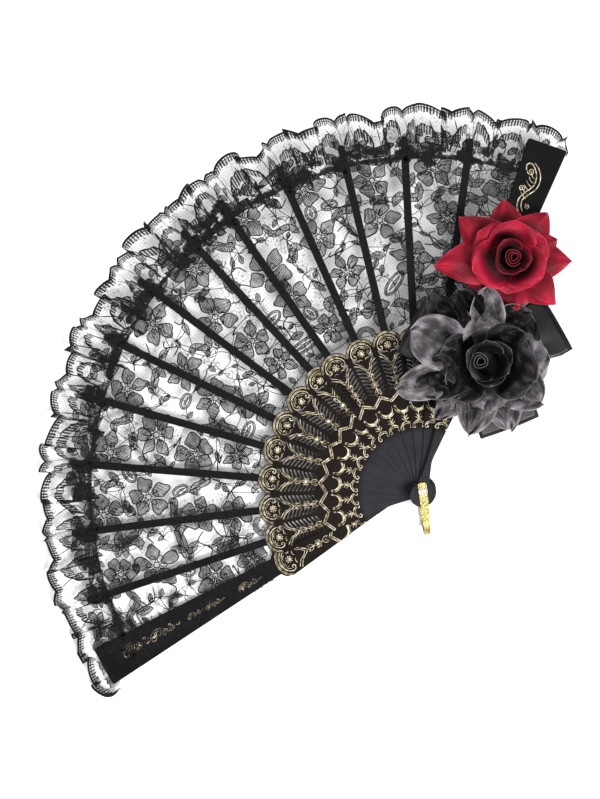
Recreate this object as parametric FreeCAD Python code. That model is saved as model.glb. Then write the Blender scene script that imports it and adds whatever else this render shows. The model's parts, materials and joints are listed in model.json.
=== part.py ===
"""Folding hand fan: two guards and twelve pierced sticks on a rivet with a shackle, a lace leaf with a
gathered frill, and two fabric roses on ribbon loops glued to the front guard.

Millimetres. +Z is up and is the rivet's axis, +Y halves the open leaf, and the origin is on the rivet's axis
in the plane of the rear guard's outer face, on which the open fan lies. The fan is modelled fully open. Each
stick has a layer of its own along Z, so that the sticks pass over one another as the fan closes.
"""
import FreeCAD, Part
import math
import os

V = FreeCAD.Vector
UP = V(0, 0, 1)

# ---- driving dimensions ----
# Degrees from each stick to the next, from rear guard to front guard: a fan never opens quite evenly.
GAPS = (10.5, 11.3, 11.5, 11.3, 10.2, 10.7, 10.6, 7.7, 11.0, 10.7, 10.3, 10.7, 11.8)
STICKS = len(GAPS) - 1           # between the two guards
OPENING = sum(GAPS)
REAR_ANGLE = 90 + OPENING / 2
FRONT_ANGLE = 90 - OPENING / 2

GUARD_LENGTH = 220.0             # rivet to square tip
RIB_TIP = 213.0
DOME_TIP = 99.1                  # top of the scalloped head of the pierced part
LEAF_OUTER = 206.0
FRILL_OUTER = 232.0

GUARD_THICK = 2.8
GUARD_HEAD_THICK = 1.2           # thinned round the rivet for the shackle
RECESS_RADIUS = 9.5
STICK_THICK = 0.9
RIB_THICK = 0.6
LEAF_THICK = 0.25
LAYER_GAP = 0.2                  # between one layer and the next
PITCH = STICK_THICK + LAYER_GAP

PIN_RADIUS = 1.62
BORE_RADIUS = 1.70
HEAD_RADIUS = 6.6
GUARD_HEAD_RADIUS = 6.8
GUARD_HEAD_BACK = 2.5            # the guards' heads are centred this far behind the rivet

SHACKLE_ANGLE = 227.4
SHACKLE_STRAIGHT = 17.4          # rivet to the start of the bow
SHACKLE_BACK = 5.5               # from the rivet to the legs' free ends
SHACKLE_THICK = 1.0
SHACKLE_PLAY = 0.15
RIVET_HEAD_RADIUS = 2.7

BLACK_ROSE = (82.0, 21.5)        # middle of each flower, in plan
RED_ROSE = (137.5, 51.0)
PAD_THICK = 1.5
RIBBON_THICK = 2.5
RIBBON_WIDTH = 38.0
RIBBON_ANGLES = {"right": -19.6, "lower": -118.6, "left": 102.4}
BLACK_OUTER_RADIUS = 42.0
RED_OUTER_RADIUS = 36.0

# ---- layers, from the bottom up ----
FIRST_STICK_Z = GUARD_THICK + LAYER_GAP
FRONT_Z = FIRST_STICK_Z + STICKS * PITCH
TOP_Z = FRONT_Z + GUARD_THICK
FRONT_HEAD_TOP = FRONT_Z + GUARD_HEAD_THICK
REAR_HEAD_BOTTOM = GUARD_THICK - GUARD_HEAD_THICK


def stick_angle(i):
    return REAR_ANGLE - sum(GAPS[:i])


def stick_z(i):
    return FIRST_STICK_Z + (i - 1) * PITCH


# ---- small geometry helpers ----
def outline(start, *steps):
    """A closed face in the XY plane. A step is a point for a line, or (middle, end) for an arc."""
    edges, here = [], V(*start, 0)
    for step in steps + (start,):
        if isinstance(step[0], tuple):
            middle, end = V(*step[0], 0), V(*step[1], 0)
            edges.append(Part.Arc(here, middle, end).toShape())
        else:
            end = V(*step, 0)
            if end.distanceToPoint(here) > 1e-7:
                edges.append(Part.makeLine(here, end))
        here = end
    return Part.Face(Part.Wire(edges))


def mirrored(start, *steps):
    """An outline that is symmetric about the X axis, from its upper half, which ends on or across the axis."""
    points = [start] + [s[1] if isinstance(s[0], tuple) else s for s in steps]
    back = []
    for i in range(len(steps) - 1, -1, -1):
        target = (points[i][0], -points[i][1])
        if isinstance(steps[i][0], tuple):
            middle = steps[i][0]
            back.append(((middle[0], -middle[1]), target))
        else:
            back.append(target)
    return outline(start, *steps, (points[-1][0], -points[-1][1]), *back)


def slab(face, bottom, top):
    lower = face.copy()
    lower.translate(V(0, 0, bottom))
    return lower.extrude(V(0, 0, top - bottom))


def disc(radius, bottom, top, x=0.0, y=0.0):
    return Part.makeCylinder(radius, top - bottom, V(x, y, bottom), UP)


def polar(radius, degrees):
    a = math.radians(degrees)
    return (radius * math.cos(a), radius * math.sin(a))


def sector(inner, outer, low, high, bottom, top):
    middle = (low + high) / 2
    face = outline(polar(inner, low), polar(outer, low), (polar(outer, middle), polar(outer, high)),
                   polar(inner, high), (polar(inner, middle), polar(inner, low)))
    return slab(face, bottom, top)


def placed(shape, degrees, lift=0.0, at=(0.0, 0.0)):
    done = shape.copy()
    done.rotate(V(0, 0, 0), UP, degrees)
    done.translate(V(at[0], at[1], lift))
    return done


def joined(shapes):
    body = shapes[0].fuse(list(shapes[1:])) if len(shapes) > 1 else shapes[0]
    return body.removeSplitter()


def save(name, shape):
    solids = shape.Solids
    if not solids or not all(s.isValid() and s.Volume > 0 for s in solids):
        raise ValueError(name + " is not made of valid solids")
    whole = solids[0] if len(solids) == 1 else Part.makeCompound(solids)
    whole.exportStep("parts/" + name + ".step")


# ---- sticks ----
GORGE_LOW, GORGE_HIGH = 63.0, 82.0      # the stretch with slanted slots
SLOTS = 9
SLOT_WIDTH = 0.9
SLOT_LEAN = 2.2
RIB_HALF = 2.3


def gorge_half_width(u):
    """Half the width of a stick's plain and pierced part, which widens in a straight line."""
    return 4.6 + (9.6 - 4.6) * (u - 39.0) / (88.5 - 39.0)


def stick_slots():
    """Slanted slots in two columns, one each side of a plain middle band, and two windows under the head."""
    cuts = []
    for i in range(SLOTS):
        u = GORGE_LOW + (GORGE_HIGH - GORGE_LOW) * i / (SLOTS - 1)
        near, far = 1.5, gorge_half_width(u) - 1.7
        for side in (1, -1):
            face = outline((u, side * near), (u + SLOT_WIDTH, side * near),
                           (u + SLOT_WIDTH + SLOT_LEAN, side * far), (u + SLOT_LEAN, side * far))
            cuts.append(slab(face, -1, STICK_THICK + 1))
    for side in (1, -1):
        face = outline((86.6, side * 2.4), (89.2, side * 5.6), ((88.0, side * 6.6), (86.4, side * 6.2)))
        cuts.append(slab(face, -1, STICK_THICK + 1))
    return cuts


def stick():
    """One stick along +X: round head with a tail, slim handle, pierced part with a domed top, thin rib."""
    head = disc(HEAD_RADIUS, 0, STICK_THICK)
    tail = disc(4.4, 0, STICK_THICK, x=-4.6)
    plain = mirrored((4.0, 3.4), ((16.0, 3.0), (39.0, 4.6)), (88.5, 9.6), ((95.9, 7.3), (DOME_TIP, 0.0)))
    rib = mirrored((92.0, RIB_HALF), (RIB_TIP - RIB_HALF, RIB_HALF),
                   ((RIB_TIP - 0.67, 1.63), (RIB_TIP, 0.0)))
    body = joined([slab(plain, 0, STICK_THICK), head, tail, slab(rib, 0, RIB_THICK)])
    cuts = stick_slots() + [disc(BORE_RADIUS, -1, STICK_THICK + 1)]
    return body.cut(cuts)


# ---- guards ----
SEAT_START = 100.6               # the leaf is let into the guard's inner face from here out


def guard(leaf_side_up):
    """A guard along +X, its outer face at Z 0 and its inner face, where the leaf is glued, at GUARD_THICK.

    Its free edge is on the +Y side. The slim handle and the wide part above it lean to the leaf's side.
    """
    face = outline((2.0, 2.4), ((13.0, -0.5), (26.0, -0.4)), (38.0, 0.9), (90.5, 7.6),
                   ((95.4, 6.8), (98.6, 3.6)), (GUARD_LENGTH - 1.5, 13.2),
                   ((GUARD_LENGTH - 0.44, 12.76), (GUARD_LENGTH, 11.7)), (GUARD_LENGTH, -9.7),
                   ((GUARD_LENGTH - 0.44, -10.76), (GUARD_LENGTH - 1.5, -11.2)), (99.8, -7.4),
                   ((96.9, -10.4), (92.0, -11.3)), (38.0, -5.8), ((20.0, -4.4), (2.0, -4.4)))
    body = slab(face, 0, GUARD_THICK)
    outer = [e for e in body.Edges if e.BoundBox.ZMax < 1e-6 and e.CenterOfMass.x > 8.0]
    body = body.makeChamfer(0.5, outer)
    body = joined([body, disc(GUARD_HEAD_RADIUS, 0, GUARD_THICK, x=-GUARD_HEAD_BACK)])
    recess = disc(RECESS_RADIUS, -1, GUARD_THICK - GUARD_HEAD_THICK)
    past = GUARD_LENGTH + 5
    seat = slab(outline((SEAT_START, -20), (past, -20), (past, 20), (SEAT_START, 20)),
                GUARD_THICK - LEAF_THICK, GUARD_THICK + 1)
    body = body.cut([recess, seat, disc(BORE_RADIUS, -1, GUARD_THICK + 1)])
    if not leaf_side_up:
        body.rotate(V(0, 0, 0), V(1, 0, 0), 180)
        body.translate(V(0, 0, GUARD_THICK))
    return body


# ---- lace ----
GUARD_EDGE = 2.0                 # degrees that the leaf runs past a guard's middle
FRILL_EDGE = 4.2                 # degrees from a guard's middle to the frill's end


def share(i, past_guard):
    """The angles of stick i's share of the lace: half-way to its neighbours, or past a guard's free edge."""
    low = -GAPS[i] / 2 if i <= STICKS else -past_guard
    high = GAPS[i - 1] / 2 if i > 0 else past_guard
    return low, high


def leaf_piece(i):
    """The leaf's share of one stick, cut round the stick's domed head."""
    low, high = share(i, GUARD_EDGE)
    if i in (0, STICKS + 1):
        return sector(SEAT_START + 0.4, LEAF_OUTER, low, high, 0, LEAF_THICK)
    piece = sector(92.0, LEAF_OUTER, low, high, 0, LEAF_THICK)
    return piece.cut(disc(10.0, -1, 1, x=89.45))


def frill_piece(i, scallops=2, depth=3.0):
    """The frill's share of one stick: a ring sector whose outer edge is scalloped."""
    low, high = share(i, FRILL_EDGE)
    span = (high - low) / scallops
    arcs = []
    for k in range(scallops):
        start = low + k * span
        arcs.append((polar(FRILL_OUTER, start + span / 2), polar(FRILL_OUTER - depth, start + span)))
    face = outline(polar(LEAF_OUTER, low), polar(FRILL_OUTER - depth, low), *arcs, polar(LEAF_OUTER, high),
                   (polar(LEAF_OUTER, (low + high) / 2), polar(LEAF_OUTER, low)))
    return slab(face, 0, LEAF_THICK)


# ---- rivet and shackle ----
def pivot_pin():
    head = disc(RIVET_HEAD_RADIUS, 0, 0.4)
    return joined([disc(PIN_RADIUS, 0, TOP_Z), head])


def rivet_washer():
    ring = disc(RIVET_HEAD_RADIUS, TOP_Z - 0.4, TOP_Z)
    return ring.cut(disc(PIN_RADIUS, TOP_Z - 2, TOP_Z + 2))


def shackle():
    """A U of flat strip whose two eyes ride on the rivet, above and below the stacked heads."""
    lower = REAR_HEAD_BOTTOM - SHACKLE_PLAY - SHACKLE_THICK
    upper = FRONT_HEAD_TOP + SHACKLE_PLAY + SHACKLE_THICK
    middle, outer_radius = (lower + upper) / 2, (upper - lower) / 2
    back, inner_radius = -SHACKLE_BACK, outer_radius - SHACKLE_THICK
    side = outline((back, -outer_radius), (SHACKLE_STRAIGHT, -outer_radius),
                   ((SHACKLE_STRAIGHT + outer_radius, 0), (SHACKLE_STRAIGHT, outer_radius)),
                   (back, outer_radius), (back, inner_radius), (SHACKLE_STRAIGHT, inner_radius),
                   ((SHACKLE_STRAIGHT + inner_radius, 0), (SHACKLE_STRAIGHT, -inner_radius)),
                   (back, -inner_radius))
    strip = slab(side, -5, 5)
    strip.rotate(V(0, 0, 0), V(1, 0, 0), 90)
    strip.translate(V(0, 0, middle))
    reach = SHACKLE_STRAIGHT + outer_radius + 1
    plan = outline((reach, -1.8), (reach, 1.8), (0, 2.6), (1 - SHACKLE_BACK, 2.6),
                   ((-SHACKLE_BACK, 0), (1 - SHACKLE_BACK, -2.6)), (0, -2.6))
    return strip.common(slab(plan, -1, TOP_Z + 1)).cut(disc(BORE_RADIUS, -2, TOP_Z + 2)).removeSplitter()


# ---- flowers ----
def lobed(radius, lobes, dip, bottom, top, at, turn=0.0):
    """A plate with round lobes, for a ring of petals."""
    span = 360.0 / lobes
    arcs = []
    for i in range(lobes):
        start = turn + i * span
        arcs.append((polar(radius, start + span / 2), polar(radius - dip, start + span)))
    face = outline(polar(radius - dip, turn), *arcs)
    return placed(slab(face, bottom, top), 0, 0, at)


def pointed(radius, tips, dip, bottom, top, at, turn=0.0):
    """A plate with pointed tips, for a ring of petals with creased ends."""
    span = 360.0 / tips
    steps = []
    for i in range(tips):
        start = turn + i * span
        steps.append((polar(radius - dip * 0.62, start + span * 0.28), polar(radius, start + span / 2)))
        steps.append((polar(radius - dip * 0.62, start + span * 0.72), polar(radius - dip, start + span)))
    face = outline(polar(radius - dip, turn), *steps)
    return placed(slab(face, bottom, top), 0, 0, at)


def flower_pad(bottom):
    """The felt that carries both flowers, glued on the front guard's outer face."""
    length = math.dist(BLACK_ROSE, RED_ROSE)
    lean = math.degrees(math.atan2(RED_ROSE[1] - BLACK_ROSE[1], RED_ROSE[0] - BLACK_ROSE[0]))
    bar = slab(outline((0, -9), (length, -9), (length, 9), (0, 9)), 0, PAD_THICK)
    pad = joined([bar, disc(26, 0, PAD_THICK), disc(14, 0, PAD_THICK, x=length)])
    return placed(pad, lean, bottom, BLACK_ROSE)


def ribbon_loop(angle, bottom):
    """A flat loop of wide ribbon, folded over at its far end."""
    near, far, half = 21.0, 45.0, RIBBON_WIDTH / 2
    face = outline((near, -half), (far, -half), ((far + 1.5, 0), (far, half)), (near, half))
    return placed(slab(face, 0, RIBBON_THICK), angle, bottom, BLACK_ROSE)


def flowers():
    pad_z = TOP_Z
    loop_z = pad_z + PAD_THICK
    black_z = loop_z + RIBBON_THICK
    red_z = black_z + 2.4
    made = {"flower_pad": flower_pad(pad_z)}
    for name, angle in RIBBON_ANGLES.items():
        made["ribbon_loop_" + name] = ribbon_loop(angle, loop_z)
    bx, by = BLACK_ROSE
    rx, ry = RED_ROSE
    made["black_rose_calyx"] = disc(12, loop_z, black_z, bx, by)
    made["black_rose_outer_petals"] = lobed(BLACK_OUTER_RADIUS, 6, 6, black_z, black_z + 2.0, BLACK_ROSE)
    made["black_rose_middle_petals"] = lobed(28, 5, 4, black_z + 2.0, black_z + 12, BLACK_ROSE, 20)
    made["black_rose_inner_petals"] = lobed(18, 4, 2.5, black_z + 12, black_z + 20, BLACK_ROSE, 50)
    made["black_rose_bud"] = Part.makeCone(8, 5, 4, V(bx, by, black_z + 20), UP)
    made["red_rose_calyx"] = disc(12, loop_z, red_z, rx, ry)
    made["red_rose_outer_petals"] = pointed(RED_OUTER_RADIUS, 9, 10, red_z, red_z + 3, RED_ROSE)
    made["red_rose_cup_petals"] = lobed(22, 5, 3, red_z + 3, red_z + 14, RED_ROSE, 10)
    made["red_rose_bud"] = Part.makeCone(9, 5, 5, V(rx, ry, red_z + 14), UP)
    return made


# ---- the whole fan ----
def save_lace(tag, i, z):
    save("lace_leaf_" + tag, placed(leaf_piece(i), stick_angle(i), z))
    save("lace_frill_" + tag, placed(frill_piece(i), stick_angle(i), z))


def build():
    os.makedirs("parts", exist_ok=True)
    save("rear_guard", placed(guard(True), REAR_ANGLE))
    save_lace("rear", 0, GUARD_THICK - LEAF_THICK)
    stem = stick()
    for i in range(1, STICKS + 1):
        save("stick_%02d" % i, placed(stem, stick_angle(i), stick_z(i)))
        save_lace("%02d" % i, i, stick_z(i) + RIB_THICK)
    save("front_guard", placed(guard(False), FRONT_ANGLE, FRONT_Z))
    save_lace("front", STICKS + 1, FRONT_Z)

    save("pivot_pin", pivot_pin())
    save("rivet_washer", rivet_washer())
    save("shackle", placed(shackle(), SHACKLE_ANGLE))
    for name, shape in flowers().items():
        save(name, shape)
    print("layers: front guard at", round(FRONT_Z, 3), "top", round(TOP_Z, 3))


build()
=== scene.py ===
"""Looks of a folding lace fan: printed plastic sticks, lace leaf, gathered frill and two cloth roses."""
import bpy
import json
import math
import numpy as np
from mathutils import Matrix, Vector


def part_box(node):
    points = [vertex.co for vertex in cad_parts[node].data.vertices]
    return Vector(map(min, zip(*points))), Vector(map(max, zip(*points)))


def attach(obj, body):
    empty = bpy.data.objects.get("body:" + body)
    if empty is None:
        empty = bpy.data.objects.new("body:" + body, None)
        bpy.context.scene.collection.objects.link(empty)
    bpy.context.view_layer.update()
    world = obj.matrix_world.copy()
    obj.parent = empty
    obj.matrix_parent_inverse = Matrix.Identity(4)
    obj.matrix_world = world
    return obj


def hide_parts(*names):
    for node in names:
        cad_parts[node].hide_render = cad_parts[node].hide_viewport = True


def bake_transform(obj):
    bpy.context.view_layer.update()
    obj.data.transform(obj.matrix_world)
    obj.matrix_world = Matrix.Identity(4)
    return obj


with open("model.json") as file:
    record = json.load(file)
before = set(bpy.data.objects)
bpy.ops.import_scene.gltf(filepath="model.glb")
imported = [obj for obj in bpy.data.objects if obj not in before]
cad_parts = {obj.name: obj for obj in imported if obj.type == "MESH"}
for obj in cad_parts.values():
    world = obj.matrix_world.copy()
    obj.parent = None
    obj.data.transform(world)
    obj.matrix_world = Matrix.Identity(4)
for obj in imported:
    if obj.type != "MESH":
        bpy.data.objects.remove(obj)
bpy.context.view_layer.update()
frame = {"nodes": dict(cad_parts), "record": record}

MM = 0.001
rng = np.random.default_rng(7)

# ---- what the frame says, in millimetres and degrees ----
moves = frame["record"]["behaviour"]
first_range = moves["joints"][0]["range_deg"][1]
GAPS = [first_range] + [c["ratio"] * first_range for c in moves["couplings"]]
STICKS = len(GAPS) - 1
OPENING = sum(GAPS)
ANGLES = [90 + OPENING / 2 - sum(GAPS[:i]) for i in range(STICKS + 2)]
TAGS = ["rear"] + ["%02d" % i for i in range(1, STICKS + 1)] + ["front"]
BODIES = ["rear_guard"] + ["stick_" + t for t in TAGS[1:-1]] + ["front_guard"]


def low(node):
    return np.array(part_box(node)[0]) / MM


def high(node):
    return np.array(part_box(node)[1]) / MM


def middle(node):
    return (low(node)[:2] + high(node)[:2]) / 2


LACE_Z = [low("lace_leaf_" + t)[2] for t in TAGS]
PRINT_Z = [high(b)[2] for b in BODIES]
FLOOR_Z = -0.3

# ---- proportions, from the rivet outwards ----
DOME_CENTRE = 89.45
DOME_RADIUS = 9.65
RIB_HALF = 2.3
NET_IN, LEAF_IN, LEAF_OUT = 93.0, 97.5, 205.0
FRILL_IN, FRILL_OUT = 199.0, 233.0
LEAF_PAST = 2.6                  # degrees that the leaf runs past a guard's middle
LEAF_LOW, LEAF_HIGH = ANGLES[-1] - LEAF_PAST, ANGLES[0] + LEAF_PAST
CAMERA_TURN = 49.65              # how far the view is turned; the petals are placed as it shows them


# ---- mesh helpers ----
def turned(points, degrees, at=(0.0, 0.0)):
    a = math.radians(degrees)
    out = np.array(points, float)
    x, y = out[:, 0].copy(), out[:, 1].copy()
    out[:, 0] = x * math.cos(a) - y * math.sin(a) + at[0]
    out[:, 1] = x * math.sin(a) + y * math.cos(a) + at[1]
    return out


def polar(radius, degrees):
    return np.array([radius * math.cos(math.radians(degrees)), radius * math.sin(math.radians(degrees))])


def smooth_curve(points, count, closed=False):
    """Points along a Catmull-Rom curve through the given ones."""
    p = np.asarray(points, float)
    if closed:
        p = np.vstack([p[-1], p, p[0], p[1]])
    else:
        p = np.vstack([2 * p[0] - p[1], p, 2 * p[-1] - p[-2]])
    spans = len(p) - 3
    u = np.linspace(0, spans, count, endpoint=not closed)
    k = np.minimum(u.astype(int), spans - 1)
    t = (u - k)[:, None]
    a, b, c, d = p[k], p[k + 1], p[k + 2], p[k + 3]
    square = 2 * a - 5 * b + 4 * c - d
    cube = 3 * b - a - 3 * c + d
    return 0.5 * (2 * b + (c - a) * t + square * t ** 2 + cube * t ** 3)


def arc(centre, radius, start, end, count=16):
    a = np.radians(np.linspace(start, end, count))
    return np.column_stack([centre[0] + radius * np.cos(a), centre[1] + radius * np.sin(a)])


def ring(centre, radius, count):
    return arc(centre, radius, 0, 360, count + 1)[:-1]


def spiral(centre, outer, inner, start, sweep, count=18):
    a = np.radians(start + np.linspace(0, sweep, count))
    r = np.linspace(outer, inner, count)
    return np.column_stack([centre[0] + r * np.cos(a), centre[1] + r * np.sin(a)])


def sides_of(line, closed=False):
    """Unit vectors to the left of a line at its points."""
    d = np.roll(line, -1, 0) - np.roll(line, 1, 0) if closed else np.gradient(line, axis=0)
    d /= np.linalg.norm(d, axis=1)[:, None] + 1e-9
    return np.stack([-d[:, 1], d[:, 0]], 1)


def stroke(line, width, height, closed=False, taper=0.35):
    """A raised line: a strip of triangular section along the points, in the plane."""
    p = np.asarray(line, float)
    side = sides_of(p, closed)
    w = np.broadcast_to(np.asarray(width, float), (len(p),)).copy() / 2
    if not closed:
        w[[0, -1]] *= taper
    n = len(p)
    zeros = np.zeros(n)
    points = np.vstack([np.column_stack([p + side * w[:, None], zeros]), np.column_stack([p, zeros + height]),
                        np.column_stack([p - side * w[:, None], zeros])])
    i = np.arange(n if closed else n - 1)
    j = (i + 1) % n
    faces = [np.column_stack([k * n + i, (k + 1) * n + i, (k + 1) * n + j, k * n + j]) for k in (0, 1)]
    return points, np.vstack(faces)


def filled(outline, height=0.0, rings=3, heart=None):
    """A closed patch: rings of the outline drawn in towards its heart."""
    p = np.asarray(outline, float)
    heart = p.mean(0) if heart is None else np.asarray(heart, float)
    n = len(p)
    points = np.vstack([heart + (p - heart) * (1 - k / rings) for k in range(rings)] + [heart[None]])
    points = np.column_stack([points, np.full(len(points), height)])
    i = np.arange(n)
    j = (i + 1) % n
    faces = [np.column_stack([k + i, k + j, k + n + j, k + n + i]) for k in range(0, (rings - 1) * n, n)]
    last = (rings - 1) * n
    hub = np.full(n, rings * n)
    faces.append(np.column_stack([last + i, last + j, hub, hub]))
    return points, np.vstack(faces)


def grid_faces(rows, cols):
    """Quads over a grid of points that are listed row by row."""
    k = np.arange(rows * cols).reshape(rows, cols)
    corners = (k[:-1, :-1], k[:-1, 1:], k[1:, 1:], k[1:, :-1])
    return np.column_stack([c.ravel() for c in corners])


class Pile:
    """Gathers vertices, faces, material numbers and a hatch coordinate for one mesh. On cloth that coordinate
    runs from a petal's foot to its rim and drives painted shade and painted highlight.
    """

    def __init__(self):
        self.points, self.faces, self.slots, self.hatch = [], [], [], []
        self.count = 0

    def add(self, points, faces, slot=0, hatch=None):
        points = np.asarray(points, float)
        self.points.append(points)
        self.faces.append(np.asarray(faces, int) + self.count)
        self.slots.append(np.full(len(faces), slot))
        self.hatch.append(np.zeros(len(points)) if hatch is None else np.asarray(hatch, float))
        self.count += len(points)

    def draw(self, line, width, height=0.15, closed=False, taper=0.35, turn=0.0, at=(0.0, 0.0), lift=0.0):
        """A raised line in the pile's first material."""
        points, faces = stroke(line, width, height, closed, taper)
        self.add(turned(points + (0, 0, lift), turn, at), faces)

    def surface(self, x, y, z, slot=0, hatch=None):
        """A grid of points, each coordinate given as an array of rows and columns."""
        points = np.column_stack([x.ravel(), y.ravel(), z.ravel()])
        self.add(points, grid_faces(*x.shape), slot, None if hatch is None else hatch.ravel())

    def arrays(self):
        return (np.vstack(self.points), np.vstack(self.faces), np.concatenate(self.slots),
                np.concatenate(self.hatch))


def surface_area(points, faces):
    a, b, c, d = (points[faces[:, k]] for k in range(4))
    halves = (np.cross(b - a, c - a), np.cross(c - a, d - a))
    return 0.5 * (np.linalg.norm(halves[0], axis=1) + np.linalg.norm(halves[1], axis=1)).sum()


def mesh_object(name, points_mm, faces, materials, slots=None, hatch=None, smooth=True):
    """A Blender object from arrays. A face whose last two corners are the same is a triangle."""
    mesh = bpy.data.meshes.new(name)
    rows = [tuple(int(x) for x in f) if f[2] != f[3] else tuple(int(x) for x in f[:3]) for f in faces]
    mesh.from_pydata([tuple(p) for p in np.asarray(points_mm) * MM], [], rows)
    for m in materials:
        mesh.materials.append(m)
    if slots is not None:
        mesh.polygons.foreach_set("material_index", np.asarray(slots, np.int32))
    if hatch is not None:
        values = mesh.attributes.new("hatch", "FLOAT", "POINT").data
        values.foreach_set("value", np.asarray(hatch, np.float32))
    mesh.polygons.foreach_set("use_smooth", np.full(len(mesh.polygons), smooth))
    mesh.update()
    obj = bpy.data.objects.new(name, mesh)
    bpy.context.scene.collection.objects.link(obj)
    return obj


# ---- material helpers ----
def material(name, colour, roughness, **sockets):
    made = bpy.data.materials.new(name)
    made.use_nodes = True
    shader = shader_of(made)
    shader.inputs["Base Color"].default_value = (*colour, 1)
    shader.inputs["Roughness"].default_value = roughness
    for key, value in sockets.items():
        shader.inputs[key.replace("_", " ")].default_value = value
    return made


def shader_of(made):
    return made.node_tree.nodes["Principled BSDF"]


def node(made, kind, **settings):
    n = made.node_tree.nodes.new(kind)
    for key, value in settings.items():
        if hasattr(n, key):
            setattr(n, key, value)
        else:
            n.inputs[key.replace("_", " ")].default_value = value
    return n


def link(made, source, out, target, into):
    made.node_tree.links.new(source.outputs[out], target.inputs[into])


def texture(made, kind, **settings):
    """A texture in the piece's own coordinates."""
    n = node(made, kind, **settings)
    link(made, node(made, "ShaderNodeTexCoord"), "Object", n, "Vector")
    return n


def maths(made, operation, *inputs):
    """A maths node. Each input is a number or a (node, output) pair."""
    n = node(made, "ShaderNodeMath", operation=operation)
    for k, value in enumerate(inputs):
        if isinstance(value, tuple):
            link(made, *value, n, k)
        else:
            n.inputs[k].default_value = value
    return n


def mapped(made, source, out, **settings):
    """A map range node on one output."""
    n = node(made, "ShaderNodeMapRange", **settings)
    link(made, source, out, n, "Value")
    return n


def bump(made, source, out, strength, distance):
    b = node(made, "ShaderNodeBump", Strength=strength, Distance=distance)
    link(made, source, out, b, "Height")
    link(made, b, "Normal", shader_of(made), "Normal")


def ramp(made, source, out, stops, into=None):
    """A colour ramp from (position, colour) stops, led into one of the shader's sockets if named."""
    r = node(made, "ShaderNodeValToRGB")
    while len(r.color_ramp.elements) < len(stops):
        r.color_ramp.elements.new(0.5)
    for element, (position, colour) in zip(r.color_ramp.elements, stops):
        element.position = position
        element.color = (*colour, 1)
    link(made, source, out, r, "Fac")
    if into:
        link(made, r, "Color", shader_of(made), into)
    return r


def grey(value):
    return (value, value, value)


def patterned(made, kind, stops, raised, out="Fac", into="Base Color", **settings):
    """One texture sets a material's colour (or another socket) and its relief: strength and metres."""
    pattern = texture(made, kind, **settings)
    ramp(made, pattern, out, stops, into)
    bump(made, pattern, out, *raised)
    return made


# ---- materials ----
def plastic_material():
    """Moulded satin plastic: brown-black where it is printed, greyer at the handles, with rubbed patches."""
    made = material("black_plastic", (0.02, 0.02, 0.023), 0.42, Specular_IOR_Level=0.09)
    flat = node(made, "ShaderNodeVectorMath", operation="MULTIPLY")
    flat.inputs[1].default_value = (1, 1, 0)
    link(made, node(made, "ShaderNodeTexCoord"), "Object", flat, 0)
    reach = node(made, "ShaderNodeVectorMath", operation="LENGTH")
    link(made, flat, "Vector", reach, 0)
    handle, printed, rib = (0.0150, 0.0150, 0.0190), (0.0050, 0.0034, 0.0021), (0.0022, 0.0022, 0.0027)
    zone = ramp(made, reach, "Value", [(0.0370, handle), (0.0385, printed), (0.0985, printed), (0.1005, rib)])
    wear = texture(made, "ShaderNodeTexNoise", Scale=90.0, Detail=6.0, Roughness=0.6)
    shade = ramp(made, wear, "Fac", [(0.3, grey(0.72)), (0.7, grey(1.35))])
    mix = node(made, "ShaderNodeMix", data_type="RGBA", blend_type="MULTIPLY", Factor=0.5)
    link(made, zone, "Color", mix, 6)
    link(made, shade, "Color", mix, 7)
    link(made, mix, 2, shader_of(made), "Base Color")
    ramp(made, wear, "Fac", [(0.3, grey(0.34)), (0.72, grey(0.48))], "Roughness")
    grain = texture(made, "ShaderNodeTexNoise", Scale=1400.0, Detail=3.0)
    bump(made, grain, "Fac", 0.25, 0.00012)
    return made


def print_material():
    """Antique gold print: worn, a little grainy."""
    made = material("gold_print", (0.40, 0.33, 0.20), 0.5, Metallic=0.3)
    worn = [(0.34, (0.10, 0.08, 0.04)), (0.46, (0.30, 0.245, 0.145)), (0.66, (0.72, 0.66, 0.50))]
    return patterned(made, "ShaderNodeTexNoise", worn, (0.3, 0.0001), Scale=420.0, Detail=4.0)


def cord_material():
    made = material("lace_cord", (0.010, 0.010, 0.012), 0.7, Specular_IOR_Level=0.08)
    return patterned(made, "ShaderNodeTexWave", [(0.0, grey(0.003)), (1.0, grey(0.012))], (0.5, 0.0002),
                     Scale=900.0, Distortion=3.0, bands_direction="DIAGONAL")


def hatch_material(name, thin, thick, pitch=0.95):
    """Worked lace: parallel threads along each petal, see-through between them."""
    made = material(name, (0.006, 0.006, 0.007), 0.75, Specular_IOR_Level=0.08)
    along = node(made, "ShaderNodeAttribute", attribute_name="hatch")
    turns = maths(made, "MULTIPLY", (along, "Fac"), 2 * math.pi / pitch)
    wave = maths(made, "SINE", (turns, "Value"))
    uneven = texture(made, "ShaderNodeTexNoise", Scale=260.0, Detail=3.0)
    lift = maths(made, "MULTIPLY_ADD", (uneven, "Fac"), 3.2, -1.6)
    total = maths(made, "ADD", (wave, "Value"), (lift, "Value"))
    clear = mapped(made, total, "Value", interpolation_type="SMOOTHSTEP", From_Min=-0.7, From_Max=0.6,
                   To_Min=thin, To_Max=thick)
    link(made, clear, "Result", shader_of(made), "Alpha")
    bump(made, wave, "Value", 0.3, 0.0002)
    return made


def net_material(name, cell, thread):
    """Fine net: the walls of small cells, and nothing between them."""
    made = material(name, (0.015, 0.015, 0.017), 0.7, Specular_IOR_Level=0.1)
    cells = texture(made, "ShaderNodeTexVoronoi", feature="DISTANCE_TO_EDGE", Scale=1000.0 / cell,
                    Randomness=0.35)
    wall = mapped(made, cells, "Distance", From_Min=thread / cell * 0.5, From_Max=thread / cell,
                  To_Min=0.55, To_Max=0.0)
    link(made, wall, "Result", shader_of(made), "Alpha")
    return made


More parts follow.
